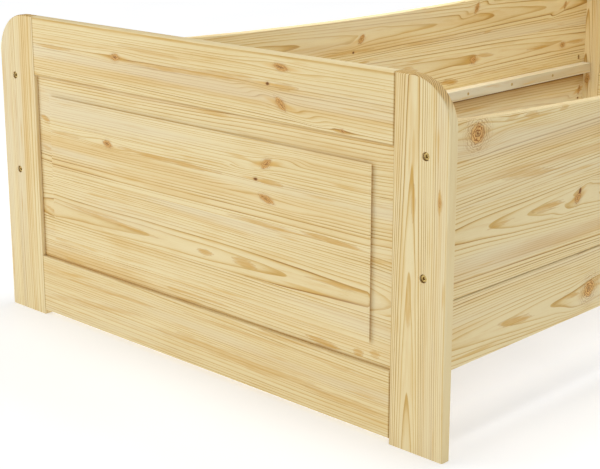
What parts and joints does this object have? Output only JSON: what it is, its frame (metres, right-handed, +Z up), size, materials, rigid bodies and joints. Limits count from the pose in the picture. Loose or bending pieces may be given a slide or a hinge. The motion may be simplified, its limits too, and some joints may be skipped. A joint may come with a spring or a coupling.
{
  "type": "single bed frame",
  "caption": "Single bed frame of knotty pine: framed foot and head boards with raised panels, hollow-topped sides and slat ledgers, bolted at the corners.",
  "frame": {"origin": "on the floor, in the middle of the bed's width and length", "axes": "+X to the right of someone who faces the foot board, +Y from foot to head, +Z up"},
  "size_m": [1.124, 2.047, 0.802],
  "materials": {
    "pine_end": "clear satin lacquer",
    "pine_panel": "clear satin lacquer",
    "pine_side": "clear satin lacquer",
    "whitewood": "planed, unfinished",
    "beech": "plain",
    "yellow_zinc": "yellow passivated steel"
  },
  "bodies": {
    "root": {"foot_left_stile": "pine_end", "foot_right_stile": "pine_end", "foot_top_rail": "pine_end", "foot_bottom_rail": "pine_end", "foot_panel": "pine_panel", "foot_frame_dowels": "beech", "foot_locating_dowels": "beech", "foot_bolts": "yellow_zinc", "foot_barrel_nuts": "yellow_zinc", "head_left_stile": "pine_end", "head_right_stile": "pine_end", "head_top_rail": "pine_end", "head_lower_rail": "pine_end", "head_panel": "pine_panel", "head_frame_dowels": "beech", "head_locating_dowels": "beech", "head_bolts": "yellow_zinc", "head_barrel_nuts": "yellow_zinc", "left_side_upper_board": "pine_side", "left_side_lower_board": "pine_side", "left_slat_ledger": "whitewood", "left_ledger_screws": "yellow_zinc", "right_side_upper_board": "pine_side", "right_side_lower_board": "pine_side", "right_slat_ledger": "whitewood", "right_ledger_screws": "yellow_zinc"}
  },
  "joints": []
}
